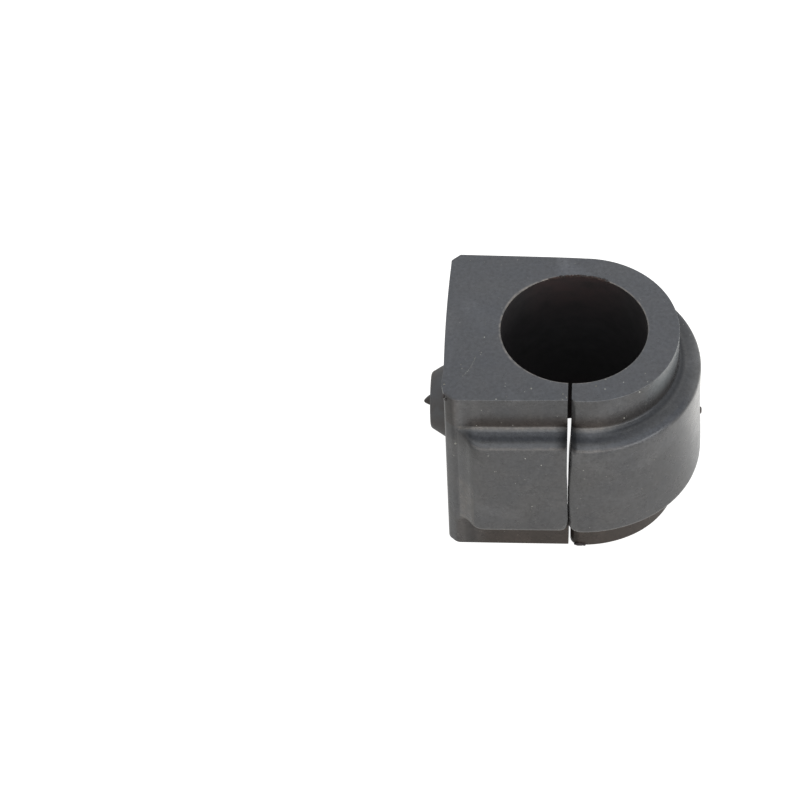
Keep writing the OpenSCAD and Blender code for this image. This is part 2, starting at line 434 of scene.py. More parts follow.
def bushing_mesh(s):
    """Closed mesh between the outer and inner points, with its ends and the split's walls."""
    outer, inner = bushing_grid(s)
    steps = (0.0, 0.012, 0.03, 0.12, 0.3, 0.5, 0.7, 0.88, 0.97, 1.0)
    nu, nt, nv = len(outer), len(outer[0]), len(steps)
    points, index = [], {}

    def vertex(u, t, v):
        key = (u, t, v)
        if key not in index:
            a, b = Vector(inner[u][t]), Vector(outer[u][t])
            index[key] = len(points)
            points.append(a.lerp(b, steps[v]))
        return index[key]

    faces, bore_faces = [], []
    for u in range(nu - 1):
        for t in range(nt - 1):
            faces.append([vertex(u, t, nv - 1), vertex(u, t + 1, nv - 1),
                          vertex(u + 1, t + 1, nv - 1), vertex(u + 1, t, nv - 1)])
            bore_faces.append([vertex(u, t, 0), vertex(u + 1, t, 0),
                               vertex(u + 1, t + 1, 0), vertex(u, t + 1, 0)])
        for v in range(nv - 1):
            faces.append([vertex(u, nt - 1, v), vertex(u + 1, nt - 1, v),
                          vertex(u + 1, nt - 1, v + 1), vertex(u, nt - 1, v + 1)])
            faces.append([vertex(u, 0, v), vertex(u, 0, v + 1),
                          vertex(u + 1, 0, v + 1), vertex(u + 1, 0, v)])
    for t in range(nt - 1):
        for v in range(nv - 1):
            faces.append([vertex(0, t, v), vertex(0, t + 1, v),
                          vertex(0, t + 1, v + 1), vertex(0, t, v + 1)])
            faces.append([vertex(nu - 1, t, v), vertex(nu - 1, t, v + 1),
                          vertex(nu - 1, t + 1, v + 1), vertex(nu - 1, t + 1, v)])
    mesh = bpy.data.meshes.new("bushing_body")
    mesh.from_pydata(points, [], faces + bore_faces)
    rows = all_rows(s)
    place = {i: key for key, i in index.items()}
    for polygon in mesh.polygons:
        polygon.use_smooth = True
        in_bore = polygon.index >= len(faces)
        on_rim = all(inset > 0 for z, share, inset in
                     (rows[place[v][1]] for v in polygon.vertices))
        # Faces inside the bore, past its rim, take the darker bore material, its painted shade
        polygon.material_index = 1 if in_bore and not on_rim else 0
    paint_marks(s, mesh, index, nv)
    tidy_mesh(mesh)
    return mesh


def fade(start, stop, at):
    """Smooth step from 0 at start to 1 at stop."""
    t = min(1.0, max(0.0, (at - start) / (stop - start)))
    return t * t * (3 - 2 * t)


def flank_painted_light(share, x):
    """Painted light on the upper flank: a cool painted highlight by the root, painted shade in its
    middle, a darker crest, and painted shade at the root round the dome.
    """
    dome = fade(4 * MM, 9.5 * MM, x)
    edge = fade(18 * MM, 21 * MM, x)
    flank_shade = fade(0.30, 0.40, share) * fade(0.68, 0.58, share) * (1 - 0.7 * dome)
    root_highlight = fade(0.14, 0.24, share) * fade(0.36, 0.28, share) * (1 - dome)
    # Painted shade: a darker band along the crest
    crest = fade(0.62, 0.80, share) * fade(1.0, 0.93, share) * (1 + 0.8 * dome) * (1 - edge)
    root_shade = dome * fade(0.34, 0.16, share)
    root_shade += 0.25 * dome * (1 - edge) * fade(0.2, 0.4, share) * fade(0.8, 0.6, share)
    return (1 - 0.34 * flank_shade + 0.20 * root_highlight - 0.19 * crest - 0.52 * root_shade,
            1 - 0.31 * flank_shade + 0.27 * root_highlight - 0.17 * crest - 0.50 * root_shade,
            1 - 0.25 * flank_shade + 0.38 * root_highlight - 0.13 * crest - 0.46 * root_shade)


def painted_light_level(s, x, y, z, share, rise):
    """Multiplier of the skin's colour: painted light and shade, patch by patch."""
    level = Vector((1, 1, 1))
    # Painted light: the upper end tinted cool, lighter towards the far side and the round side
    if z > s.half_length - 0.05 * MM:
        return Vector((1.0, 1.025, 1.09)) * (1 + 0.05 * y / s.side_y + 0.05 * fade(0, 10 * MM, x))
    if rise > 0.3 and 0.004 < share < 0.985 and z > 0:
        level = Vector(flank_painted_light(share, x)).lerp(level, fade(0.9, 0.3, rise))
    # Painted shade by the dome's root, and a painted highlight on the land near the round side's upper
    # edge
    if x > 4 * MM and share <= 0.004 and z > 0:
        level *= 1 - 0.45 * fade(4 * MM, 11 * MM, x) * fade(16.0 * MM, 12.6 * MM, z)
        lit_patch = fade(11 * MM, 15 * MM, x) * fade(12.5 * MM, 16.5 * MM, z)
        level = level.lerp(Vector((1.50, 1.64, 1.68)), lit_patch)
    # Painted light and shade on the near side, patch by patch
    if y < 0 and x < 4 * MM:
        # Painted light: paler upper land by the base end
        end = fade(-15 * MM, -18 * MM, x) * fade(-20.35 * MM, -19.95 * MM, x)
        level *= 1 + 0.36 * end * fade(11.9 * MM, 13.2 * MM, z)
        chamfer_shade = fade(-19.65 * MM, -19.95 * MM, x) * fade(-21.45 * MM, -21.2 * MM, x)
        level *= 1 - 0.30 * chamfer_shade * fade(6 * MM, 12 * MM, z)
        start = -18.0 * MM + (11.5 * MM - z) * 1.15
        hollow_shade = fade(11.9 * MM, 11.0 * MM, z) * fade(7.6 * MM, 8.8 * MM, z)
        hollow_shade *= fade(start + 1.1 * MM, start - 0.6 * MM, x) * fade(-21 * MM, -19.6 * MM, x)
        level *= 1 - 0.22 * hollow_shade
        level *= 1 - 0.27 * fade(0.1, 0.35, rise) * fade(0.95, 0.7, rise)
        level *= 1 + 0.14 * fade(-17.3 * MM, -18.2 * MM, x) * fade(9 * MM, 6 * MM, z)
        level *= 1 + 0.06 * fade(-14.8 * MM, -16 * MM, x) * fade(8 * MM, 5 * MM, z)
        level *= 1 - 0.08 * fade(-19.6 * MM, -20 * MM, x) - 0.06 * fade(11.9 * MM, 13 * MM, z)
        level *= 1 - 0.07 * fade(-15.5 * MM, -14 * MM, x) * fade(-2 * MM, -8 * MM, z)
        # Painted light: a paler foot of the shoulder
        foot = fade(-16.6 * MM, -17.6 * MM, x) * fade(-19.9 * MM, -19.0 * MM, x)
        level *= 1 + 0.12 * foot * fade(-5 * MM, -10.5 * MM, z) * fade(-12.2 * MM, -11.4 * MM, z)
        split_shade = fade(-2.6 * MM, -1.8 * MM, x) * fade(1.4 * MM, 0.5 * MM, x)
        level *= 1 - 0.75 * split_shade * fade(13.6 * MM, 12.2 * MM, z) * fade(9.8 * MM, 10.8 * MM, z)
        level *= 1 - 0.45 * fade(-0.5 * MM, 0.1 * MM, x) * fade(1.6 * MM, 0.7 * MM, x) * fade(
            -12.4 * MM, -13 * MM, z)
        crease_shade = fade(0.05 * MM, 0.25 * MM, x) * fade(0.75 * MM, 0.45 * MM, x)
        level *= 1 - 0.4 * crease_shade * fade(12.6 * MM, 13.5 * MM, z) * fade(18.4 * MM, 17.4 * MM, z)
    return level


def paint_marks(s, mesh, index, nv):
    """Three point layers: worn edges with a painted highlight along them, painted brown shade in the
    hollows and under the band, and painted light and shade over the skin.
    """
    rows = all_rows(s)
    rises = [1.0] * LIP_COLUMNS + [c[4] / s.band_height for c in outline(s)]
    rises += [1.0] * LIP_COLUMNS
    worn = mesh.attributes.new("worn", "FLOAT", "POINT")
    painted_shade = mesh.attributes.new("painted_shade", "FLOAT", "POINT")
    painted_light = mesh.attributes.new("painted_light", "FLOAT_VECTOR", "POINT")
    root = s.band_half + s.root_round
    for (u, t, v), i in index.items():
        z, share, inset = rows[t]
        x, y = mesh.vertices[i].co.x, mesh.vertices[i].co.y
        rise = rises[u]
        beside = fade(12 * MM, 3 * MM, x)
        long = max(rise, fade(-19.6 * MM, -18.9 * MM, x)) if x < 0 and y < 0 else rise
        shift = 0.018 if z > 0 else 0
        painted_light.data[i].vector = (1, 1, 1)
        # Painted light and shade on the outer skin and the ends
        if v == nv - 1 or t == len(rows) - 1:
            painted_light.data[i].vector = painted_light_level(s, x, y, z, share, rise)
        if v == nv - 1:
            # Painted highlight, with some wear: pale lines along the crest, the root and the base
            # end's shoulder
            if 0.985 - shift > share > 0.9 - shift:
                worn.data[i].value = 0.30 * rise * beside if z > 0 else 0.36 * long
            elif z < 0 and y < 0 and x < -16.8 * MM and share > 0.004:
                worn.data[i].value = 0.30 * long
            elif 0.12 > share > 0.004:
                corner_wear_highlight = 0.10 * fade(-15.5 * MM, -17.5 * MM, x) if y < 0 else 0
                worn.data[i].value = long * beside * (0.24 + corner_wear_highlight if z > 0 else 0.2)
            # Painted shade: brown darkening on the land by the band's root and by the near corner
            if share < 0.005 and z > 0:
                land_shade = rise * (1 - fade(root, root + 3.6 * MM, z)) * (0.35 + 0.4 * beside)
                corner_shade = fade(-18.2 * MM, -20.4 * MM, x) * fade(-21.45 * MM, -21.2 * MM, x)
                painted_shade.data[i].value = max(land_shade, 0.55 * corner_shade * fade(0, -10 * MM, y))
            # Painted shade: brown darkening on the land under the band and by the base
            elif share < 0.005:
                under = 0.45 * fade(-20.6 * MM, -19.6 * MM, x) + 0.5 * fade(-18 * MM, -14 * MM, x)
                under *= 0.55 + 0.45 * fade(6 * MM, -6 * MM, y)
                painted_shade.data[i].value = under if z < -root else 0.5 * fade(-20 * MM, -19 * MM, x)
        # Painted highlight, with some worn flash: a pale line round the bore's upper rim
        if v < 3 and inset > 0 and z > 0:
            worn.data[i].value = (0.9, 0.9, 0.0)[v] * fade(20 * MM, 6 * MM, x - y * 0.5)


def tidy_mesh(mesh):
    """Turns every face outwards."""
    bm = bmesh.new()
    bm.from_mesh(mesh)
    bmesh.ops.recalc_face_normals(bm, faces=bm.faces)
    bm.to_mesh(mesh)
    bm.free()


def turned_mesh(name, profile, place, segments=64, wobble=0.0, seed=0):
    """Mesh turned about an axis from (radius, height) pairs, its last point closed."""
    chance = random.Random(seed)
    bm = bmesh.new()
    rings = []
    for r, h in profile:
        if r < 1e-7:
            rings.append([bm.verts.new(place(0, 0, h))])
            continue
        ring = []
        for i in range(segments):
            a = 2 * math.pi * i / segments
            k = r * (1 + wobble * (chance.random() - 0.5))
            ring.append(bm.verts.new(place(k * math.cos(a), k * math.sin(a), h)))
        rings.append(ring)
    for low, high in zip(rings, rings[1:]):
        for i in range(segments):
            j = (i + 1) % segments
            if len(high) == 1:
                bm.faces.new((low[i], low[j], high[0]))
            else:
                bm.faces.new((low[i], low[j], high[j], high[i]))
    bm.faces.new(rings[0])
    for face in bm.faces:
        face.smooth = True
    bmesh.ops.recalc_face_normals(bm, faces=bm.faces)
    mesh = bpy.data.meshes.new(name)
    bm.to_mesh(mesh)
    bm.free()
    return mesh


def rim_flash_mesh(s):
    """Ragged film of torn rubber that stands along the far side of the bore's upper rim."""
    chance = random.Random(21)
    start, stop, count = math.radians(62), math.radians(112), 90
    points, faces = [], []
    for i, a in enumerate(spread(start, stop, count)):
        ends = fade(0, 0.15, i / count) * fade(1, 0.85, i / count)
        tall = (0.06 + 0.40 * chance.random() ** 2) * ends * MM
        lean = (0.06 + 0.12 * chance.random()) * ends * MM
        out = Vector((math.cos(a), math.sin(a), 0))
        up = Vector((0, 0, 1))
        foot = out * s.bore_radius + up * (s.half_length - s.end_round)
        for outward, high in ((0.10 * MM, -0.3 * MM), (0.12 * MM, s.end_round),
                              (0.04 * MM - lean, s.end_round + tall),
                              (-0.04 * MM - lean, s.end_round + tall * 0.6),
                              (-0.03 * MM, -0.1 * MM), (0.02 * MM, -0.4 * MM)):
            points.append(foot + out * outward + up * high)
    for i in range(count - 1):
        for k in range(6):
            a, b = i * 6 + k, i * 6 + (k + 1) % 6
            faces.append((a, b, b + 6, a + 6))
    faces += [tuple(range(6)), tuple(range((count - 1) * 6, count * 6))]
    mesh = bpy.data.meshes.new("rim_flash")
    mesh.from_pydata(points, [], faces)
    tidy_mesh(mesh)
    return mesh


def lump(at, half, seed, smoothness=3):
    """Small uneven lump: a centre and three half sizes, in millimetres."""
    chance = random.Random(seed)
    bm = bmesh.new()
    bmesh.ops.create_icosphere(bm, subdivisions=smoothness, radius=1)
    shift = Vector((chance.random(), chance.random(), chance.random())) * 20
    for v in bm.verts:
        uneven = 1 + 0.28 * noise.noise(v.co * 1.6 + shift)
        v.co = Vector([(at[i] + v.co[i] * half[i] * uneven) * MM for i in range(3)])
    return bm


def rim_crumbs(s):
    """Crumbs of torn rubber that stick to the far side of the bore's upper rim."""
    chance = random.Random(12)
    made = []
    for i in range(46):
        a = math.radians(chance.uniform(64, 103))
        r = s.bore_radius / MM + chance.uniform(-0.05, 0.22)
        size = chance.uniform(0.10, 0.24)
        at = (r * math.cos(a), r * math.sin(a), s.half_length / MM - 0.06)
        made.append(lump(at, (size * 1.6, size * 0.8, size * 0.7), 40 + i, 2))
    return made


def lumps_mesh(name, lumps):
    """Joins lumps in one mesh."""
    mesh = bpy.data.meshes.new(name)
    points, faces = [], []
    for bm in lumps:
        first = len(points)
        points += [v.co.copy() for v in bm.verts]
        faces += [[first + v.index for v in face.verts] for face in bm.faces]
        bm.free()
    mesh.from_pydata(points, [], faces)
    for polygon in mesh.polygons:
        polygon.use_smooth = True
    return mesh


def dust_lumps(s):
    """Specks of dust, half sunk where a line from outside meets the body."""
    body = bpy.data.objects["bushing_body"].data
    tree = BVHTree.FromPolygons([v.co for v in body.vertices],
                                [tuple(p.vertices) for p in body.polygons])
    chance = random.Random(33)
    places = [(Vector((x, y, 30)) * MM, Vector((0, 0, -1)), size) for x, y, size in TOP_SPECKS]
    for share in spread(0, 1, 22):
        at = Vector(SCRATCH[0] + (30,)).lerp(Vector(SCRATCH[1] + (30,)), share)
        at.x += 0.35 * math.sin(3 * share) + 0.05 * math.sin(37 * share)
        places.append((at * MM, Vector((0, 0, -1)), 0.055 + 0.015 * math.sin(19 * share)))
    places += [(Vector((x, -40, z)) * MM, Vector((0, 1, 0)), size)
               for x, z, size in SIDE_SPECKS]
    for i in range(170):
        size = 0.05 + 0.06 * chance.random() ** 2
        a, b = chance.uniform(-20.5, 20), chance.uniform(-16.5, 16.5)
        from_above = (Vector((a, b, 30)) * MM, Vector((0, 0, -1)), size)
        from_front = (Vector((a, -40, b)) * MM, Vector((0, 1, 0)), size)
        places.append(from_above if i % 2 else from_front)
    made = []
    for start, way, size in places:
        at, normal, face, distance = tree.ray_cast(start, way)
        if at is None or normal.dot(way) > -0.6 or at.length < 13 * MM:
            continue
        if (abs(normal.z) > 0.9 and at.z < 0) or -12 * MM < at.z < -9.8 * MM:
            continue
        flat = [size * (1.0 if abs(n) < 0.7 else 0.4) * chance.uniform(0.8, 1.4) for n in normal]
        made.append(lump(at / MM, flat, len(made), 2))
    return made


# ---------------------------------------------------------------- materials

def node(tree, kind, at, **values):
    """New node with its settings and the values of its inputs."""
    made = tree.nodes.new(kind)
    made.location = at
    for key, value in values.items():
        if hasattr(made, key):
            setattr(made, key, value)
        else:
            made.inputs[key.replace("_", " ")].default_value = value
    return made


def opaque(rgb):
    return (rgb[0], rgb[1], rgb[2], 1.0)


def rubber_material(finish):
    material = bpy.data.materials.new("moulded_rubber")
    material.use_nodes = True
    tree = material.node_tree
    tree.nodes.clear()
    link = tree.links.new
    out = node(tree, "ShaderNodeOutputMaterial", (900, 0))
    shader = node(tree, "ShaderNodeBsdfPrincipled", (600, 0))
    shader.inputs["IOR"].default_value = 1.5
    link(shader.outputs[0], out.inputs[0])
    place = node(tree, "ShaderNodeTexCoord", (-900, 0))
    clouds = node(tree, "ShaderNodeTexNoise", (-650, 200), Scale=170.0, Detail=5.0, Roughness=0.6)
    link(place.outputs["Object"], clouds.inputs["Vector"])
    mix = node(tree, "ShaderNodeMix", (-350, 200), data_type="RGBA")
    mix.inputs[6].default_value = opaque(finish.rubber)
    mix.inputs[7].default_value = opaque(finish.rubber_cloud)
    spread_clouds = node(tree, "ShaderNodeMapRange", (-500, 350))
    spread_clouds.inputs[1].default_value = 0.35
    spread_clouds.inputs[2].default_value = 0.65
    link(clouds.outputs[0], spread_clouds.inputs[0])
    link(spread_clouds.outputs[0], mix.inputs[0])
    # Painted shade: a brown darkening mixed in from its point layer
    painted_shade_at = node(tree, "ShaderNodeAttribute", (-350, 500), attribute_name="painted_shade")
    shade_mixed = node(tree, "ShaderNodeMix", (-50, 300), data_type="RGBA")
    shade_mixed.inputs[7].default_value = opaque(finish.rubber_shade)
    link(painted_shade_at.outputs["Fac"], shade_mixed.inputs[0])
    link(mix.outputs[2], shade_mixed.inputs[6])
    # Painted highlight with some wear: pale lines mixed in from their point layer, broken into patches
    worn_highlight_at = node(tree, "ShaderNodeAttribute", (-350, 700), attribute_name="worn")
    highlight_patches = node(tree, "ShaderNodeTexNoise", (-650, 700), Scale=900.0, Detail=3.0)
    link(place.outputs["Object"], highlight_patches.inputs["Vector"])
    patchy = node(tree, "ShaderNodeMapRange", (-350, 900))
    patchy.inputs[1].default_value = 0.3
    patchy.inputs[2].default_value = 0.6
    link(highlight_patches.outputs[0], patchy.inputs[0])
    wear_highlight = node(tree, "ShaderNodeMath", (-150, 700), operation="MULTIPLY")
    link(worn_highlight_at.outputs["Fac"], wear_highlight.inputs[0])
    link(patchy.outputs[0], wear_highlight.inputs[1])
    highlight_mixed = node(tree, "ShaderNodeMix", (200, 300), data_type="RGBA")
    highlight_mixed.inputs[7].default_value = opaque(finish.rubber_worn_highlight)
    link(wear_highlight.outputs[0], highlight_mixed.inputs[0])
    link(shade_mixed.outputs[2], highlight_mixed.inputs[6])
    # Painted light and shade: the point layer scales the colour, and lowers the gloss where it paints
    # shade
    painted_light_at = node(tree, "ShaderNodeAttribute", (-50, 900), attribute_name="painted_light")
    painted_gloss = node(tree, "ShaderNodeMapRange", (350, 800))
    painted_gloss.inputs[1].default_value = 0.3
    painted_gloss.inputs[2].default_value = 1.0
    painted_gloss.inputs[3].default_value = 0.12
    painted_gloss.inputs[4].default_value = 0.5
    link(painted_light_at.outputs["Fac"], painted_gloss.inputs[0])
    link(painted_gloss.outputs[0], shader.inputs["Specular IOR Level"])
    light_applied = node(tree, "ShaderNodeVectorMath", (350, 500), operation="MULTIPLY")
    link(highlight_mixed.outputs[2], light_applied.inputs[0])
    link(painted_light_at.outputs["Vector"], light_applied.inputs[1])
    specks = node(tree, "ShaderNodeTexNoise", (-650, -700), Scale=1500.0, Detail=4.0,
                  Roughness=0.75)
    link(place.outputs["Object"], specks.inputs["Vector"])
    smudges = node(tree, "ShaderNodeTexNoise", (-650, -900), Scale=75.0, Detail=3.0,
                   Distortion=1.2)
    link(place.outputs["Object"], smudges.inputs["Vector"])
    fine = node(tree, "ShaderNodeMapRange", (-400, -700))
    fine.inputs[1].default_value = 0.3
    fine.inputs[2].default_value = 0.7
    fine.inputs[3].default_value = 0.72
    fine.inputs[4].default_value = 1.28
    link(specks.outputs[0], fine.inputs[0])
    broad = node(tree, "ShaderNodeMapRange", (-400, -900))
    broad.inputs[1].default_value = 0.52
    broad.inputs[2].default_value = 0.72
    broad.inputs[3].default_value = 0.96
    broad.inputs[4].default_value = 1.32
    link(smudges.outputs[0], broad.inputs[0])
    uneven = node(tree, "ShaderNodeMath", (-150, -800), operation="MULTIPLY")
    link(fine.outputs[0], uneven.inputs[0])
    link(broad.outputs[0], uneven.inputs[1])
    mottled = node(tree, "ShaderNodeVectorMath", (450, 300), operation="SCALE")
    link(light_applied.outputs[0], mottled.inputs[0])
    link(uneven.outputs[0], mottled.inputs["Scale"])
    link(mottled.outputs[0], shader.inputs["Base Color"])
    blotch = node(tree, "ShaderNodeTexNoise", (-650, -100), Scale=420.0, Detail=4.0)
    link(place.outputs["Object"], blotch.inputs["Vector"])
    gloss = node(tree, "ShaderNodeMapRange", (-350, -100))
    gloss.inputs[1].default_value = 0.3
    gloss.inputs[2].default_value = 0.7
    gloss.inputs[3].default_value = finish.roughness - 0.03
    gloss.inputs[4].default_value = finish.roughness + 0.04
    link(blotch.outputs[0], gloss.inputs[0])
    link(gloss.outputs[0], shader.inputs["Roughness"])
    grain = node(tree, "ShaderNodeTexNoise", (-650, -400), Scale=2600.0, Detail=3.0)
    link(place.outputs["Object"], grain.inputs["Vector"])
    bump = node(tree, "ShaderNodeBump", (-100, -400), Strength=finish.grain, Distance=0.00005)
    link(grain.outputs[0], bump.inputs["Height"])
    link(bump.outputs[0], shader.inputs["Normal"])
    return material


def bore_material(finish):
    """Dull black wall with faint streaks: a darker copy of the rubber as painted shade, and painted
    light, paler and browner, on the far wall towards its two mouths.
    """
    material = bpy.data.materials.new("bore_rubber")
    material.use_nodes = True
    tree = material.node_tree
    link = tree.links.new
    shader = tree.nodes["Principled BSDF"]
    shader.inputs["Roughness"].default_value = 0.8
    shader.inputs["Specular IOR Level"].default_value = 0.12
    place = node(tree, "ShaderNodeTexCoord", (-1100, 0))
    stretch = node(tree, "ShaderNodeMapping", (-900, 0))
    stretch.inputs["Scale"].default_value = (0.6, 1.0, 1.2)
    link(place.outputs["Object"], stretch.inputs["Vector"])
    streaks = node(tree, "ShaderNodeTexNoise", (-650, 0), Scale=420.0, Detail=4.0)
    link(stretch.outputs[0], streaks.inputs["Vector"])
    mix = node(tree, "ShaderNodeMix", (-350, 0), data_type="RGBA")
    mix.inputs[6].default_value = opaque([c * 0.7 for c in finish.bore])
    mix.inputs[7].default_value = opaque([c * 1.7 for c in finish.bore])
    link(streaks.outputs[0], mix.inputs[0])
    apart = node(tree, "ShaderNodeSeparateXYZ", (-900, -250))
    link(place.outputs["Object"], apart.inputs[0])
    depth = node(tree, "ShaderNodeMath", (-700, -250), operation="ABSOLUTE")
    link(apart.outputs["Z"], depth.inputs[0])
    near_end = node(tree, "ShaderNodeMapRange", (-500, -250))
    near_end.inputs[1].default_value = 6 * MM
    near_end.inputs[2].default_value = 18.6 * MM
    link(depth.outputs[0], near_end.inputs[0])
    far_side = node(tree, "ShaderNodeMapRange", (-500, -500))
    far_side.inputs[1].default_value = 8.5 * MM
    far_side.inputs[2].default_value = 12.4 * MM
    link(apart.outputs["Y"], far_side.inputs[0])
    lit = node(tree, "ShaderNodeMath", (-350, -350), operation="MULTIPLY")
    link(near_end.outputs[0], lit.inputs[0])
    link(far_side.outputs[0], lit.inputs[1])
    patches = node(tree, "ShaderNodeMapRange", (-500, -750))
    patches.inputs[1].default_value = 0.3
    patches.inputs[2].default_value = 0.62
    patches.inputs[3].default_value = 0.25
    patches.inputs[4].default_value = 1.2
    link(streaks.outputs[0], patches.inputs[0])
    # Painted light on the far wall near both mouths, broken into patches
    mouth = node(tree, "ShaderNodeMath", (-250, -350), operation="MULTIPLY", use_clamp=True)
    link(lit.outputs[0], mouth.inputs[0])
    link(patches.outputs[0], mouth.inputs[1])
    opened = node(tree, "ShaderNodeMix", (-150, 0), data_type="RGBA")
    opened.inputs[7].default_value = opaque(finish.bore_mouth)
    link(mouth.outputs[0], opened.inputs[0])
    link(mix.outputs[2], opened.inputs[6])
    link(opened.outputs[2], shader.inputs["Base Color"])
    return material


def speckled_material(name, light, dark, roughness, scale):
    """Simple dull finish that varies between two colours."""
    material = bpy.data.materials.new(name)
    material.use_nodes = True
    tree = material.node_tree
    link = tree.links.new
    shader = tree.nodes["Principled BSDF"]
    shader.inputs["Roughness"].default_value = roughness
    place = node(tree, "ShaderNodeTexCoord", (-900, 0))
    spots = node(tree, "ShaderNodeTexNoise", (-650, 0), Scale=scale, Detail=3.0)
    link(place.outputs["Object"], spots.inputs["Vector"])
    contrast = node(tree, "ShaderNodeMapRange", (-450, 0))
    contrast.inputs[1].default_value = 0.35
    contrast.inputs[2].default_value = 0.65
    link(spots.outputs[0], contrast.inputs[0])
    mix = node(tree, "ShaderNodeMix", (-250, 0), data_type="RGBA")
    mix.inputs[6].default_value = opaque(dark)
    mix.inputs[7].default_value = opaque(light)
    link(contrast.outputs[0], mix.inputs[0])
    link(mix.outputs[2], shader.inputs["Base Color"])
    return material


def studio_depth():
    """How far the floor lies under the bore's middle."""
    return HALF_LENGTH + 0.02 * MM


def floor_material(studio):
    """Pale floor: white to the camera, with the object's shadow left in it, and a painted pool of
    light where it is mirrored on the right.
    """
    material = bpy.data.materials.new("studio_floor")
    material.use_nodes = True
    tree = material.node_tree
    tree.nodes.clear()
    link = tree.links.new
    out = node(tree, "ShaderNodeOutputMaterial", (600, 0))
    cloth = node(tree, "ShaderNodeBsdfDiffuse", (0, 0))
    cloth.inputs["Color"].default_value = opaque(studio.floor)
    glow = node(tree, "ShaderNodeEmission", (0, -200))
    glow.inputs["Color"].default_value = (1, 1, 1, 1)
    path = node(tree, "ShaderNodeLightPath", (-600, 200))
    mirrored = node(tree, "ShaderNodeMath", (-400, 100), operation="MAXIMUM")
    link(path.outputs["Is Glossy Ray"], mirrored.inputs[0])
    link(path.outputs["Is Transmission Ray"], mirrored.inputs[1])
    # Painted pool of light: where mirrored, the floor glows brighter in a patch on the right
    place = node(tree, "ShaderNodeTexCoord", (-1200, -300))
    from_pool = node(tree, "ShaderNodeVectorMath", (-1000, -300), operation="DISTANCE")
    from_pool.inputs[1].default_value = (0.050, 0.032, -studio_depth())
    link(place.outputs["Object"], from_pool.inputs[0])
    pool = node(tree, "ShaderNodeMapRange", (-800, -300), interpolation_type="SMOOTHSTEP")
    pool.inputs[1].default_value = 0.051
    pool.inputs[2].default_value = 0.028
    pool.inputs[3].default_value = studio.mirror_glow
    pool.inputs[4].default_value = studio.pool_glow
    link(from_pool.outputs["Value"], pool.inputs[0])
    dimmed = node(tree, "ShaderNodeMath", (-250, 100), operation="MULTIPLY")
    link(pool.outputs[0], dimmed.inputs[1])
    link(mirrored.outputs[0], dimmed.inputs[0])
    direct = node(tree, "ShaderNodeMath", (-250, 300), operation="MULTIPLY")
    direct.inputs[1].default_value = studio.floor_glow
    link(path.outputs["Is Camera Ray"], direct.inputs[0])
    level = node(tree, "ShaderNodeMath", (-100, 200), operation="MAXIMUM")
    link(direct.outputs[0], level.inputs[0])
    link(dimmed.outputs[0], level.inputs[1])
    link(level.outputs[0], glow.inputs["Strength"])
    both = node(tree, "ShaderNodeAddShader", (300, 0))
    link(cloth.outputs[0], both.inputs[0])
    link(glow.outputs[0], both.inputs[1])
    link(both.outputs[0], out.inputs[0])
    return material


def room_world(studio):
    """Room light: plain sky light, and white where it is seen or mirrored."""
    world = bpy.data.worlds.new("studio_room")
    world.use_nodes = True
    tree = world.node_tree
    tree.nodes.clear()
    link = tree.links.new
    out = node(tree, "ShaderNodeOutputWorld", (600, 0))
    sky = node(tree, "ShaderNodeBackground", (0, 0), Strength=studio.sky_level)
    sky.inputs["Color"].default_value = opaque(studio.sky)
    white = node(tree, "ShaderNodeBackground", (0, -200), Strength=1.0)
    white.inputs["Color"].default_value = (1, 1, 1, 1)
    path = node(tree, "ShaderNodeLightPath", (-600, 200))
    seen = node(tree, "ShaderNodeMath", (-350, 200), operation="MAXIMUM")
    link(path.outputs["Is Camera Ray"], seen.inputs[0])
    link(path.outputs["Is Glossy Ray"], seen.inputs[1])
    any_seen = node(tree, "ShaderNodeMath", (-200, 200), operation="MAXIMUM")
    link(seen.outputs[0], any_seen.inputs[0])
    link(path.outputs["Is Transmission Ray"], any_seen.inputs[1])
    mix = node(tree, "ShaderNodeMixShader", (300, 0))
    link(any_seen.outputs[0], mix.inputs[0])
    link(sky.outputs[0], mix.inputs[1])
    link(white.outputs[0], mix.inputs[2])
    link(mix.outputs[0], out.inputs[0])
    return world


# ---------------------------------------------------------------- operators

def add_piece(name, mesh, materials):
    """Puts a mesh in the scene as a piece that stands for the bushing."""
    piece = bpy.data.objects.new(name, mesh)
    bpy.context.scene.collection.objects.link(piece)
    for material in materials:
        mesh.materials.append(material)
    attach(piece, "root")
    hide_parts("bushing")
    return piece


def rubber():
    return bpy.data.materials.get("moulded_rubber") or rubber_material(
        bpy.context.scene.bushing_finish)


class BUSHING_OT_body(bpy.types.Operator):
    """Build the moulded body with its band, bore and split"""
    bl_idname = "bushing.body"
    bl_label = "Body and band"

    def execute(self, context):
        scene = context.scene
        mesh = bushing_mesh(scene.bushing_body)
        add_piece("bushing_body", mesh, [rubber(), bore_material(scene.bushing_finish)])
        return {"FINISHED"}


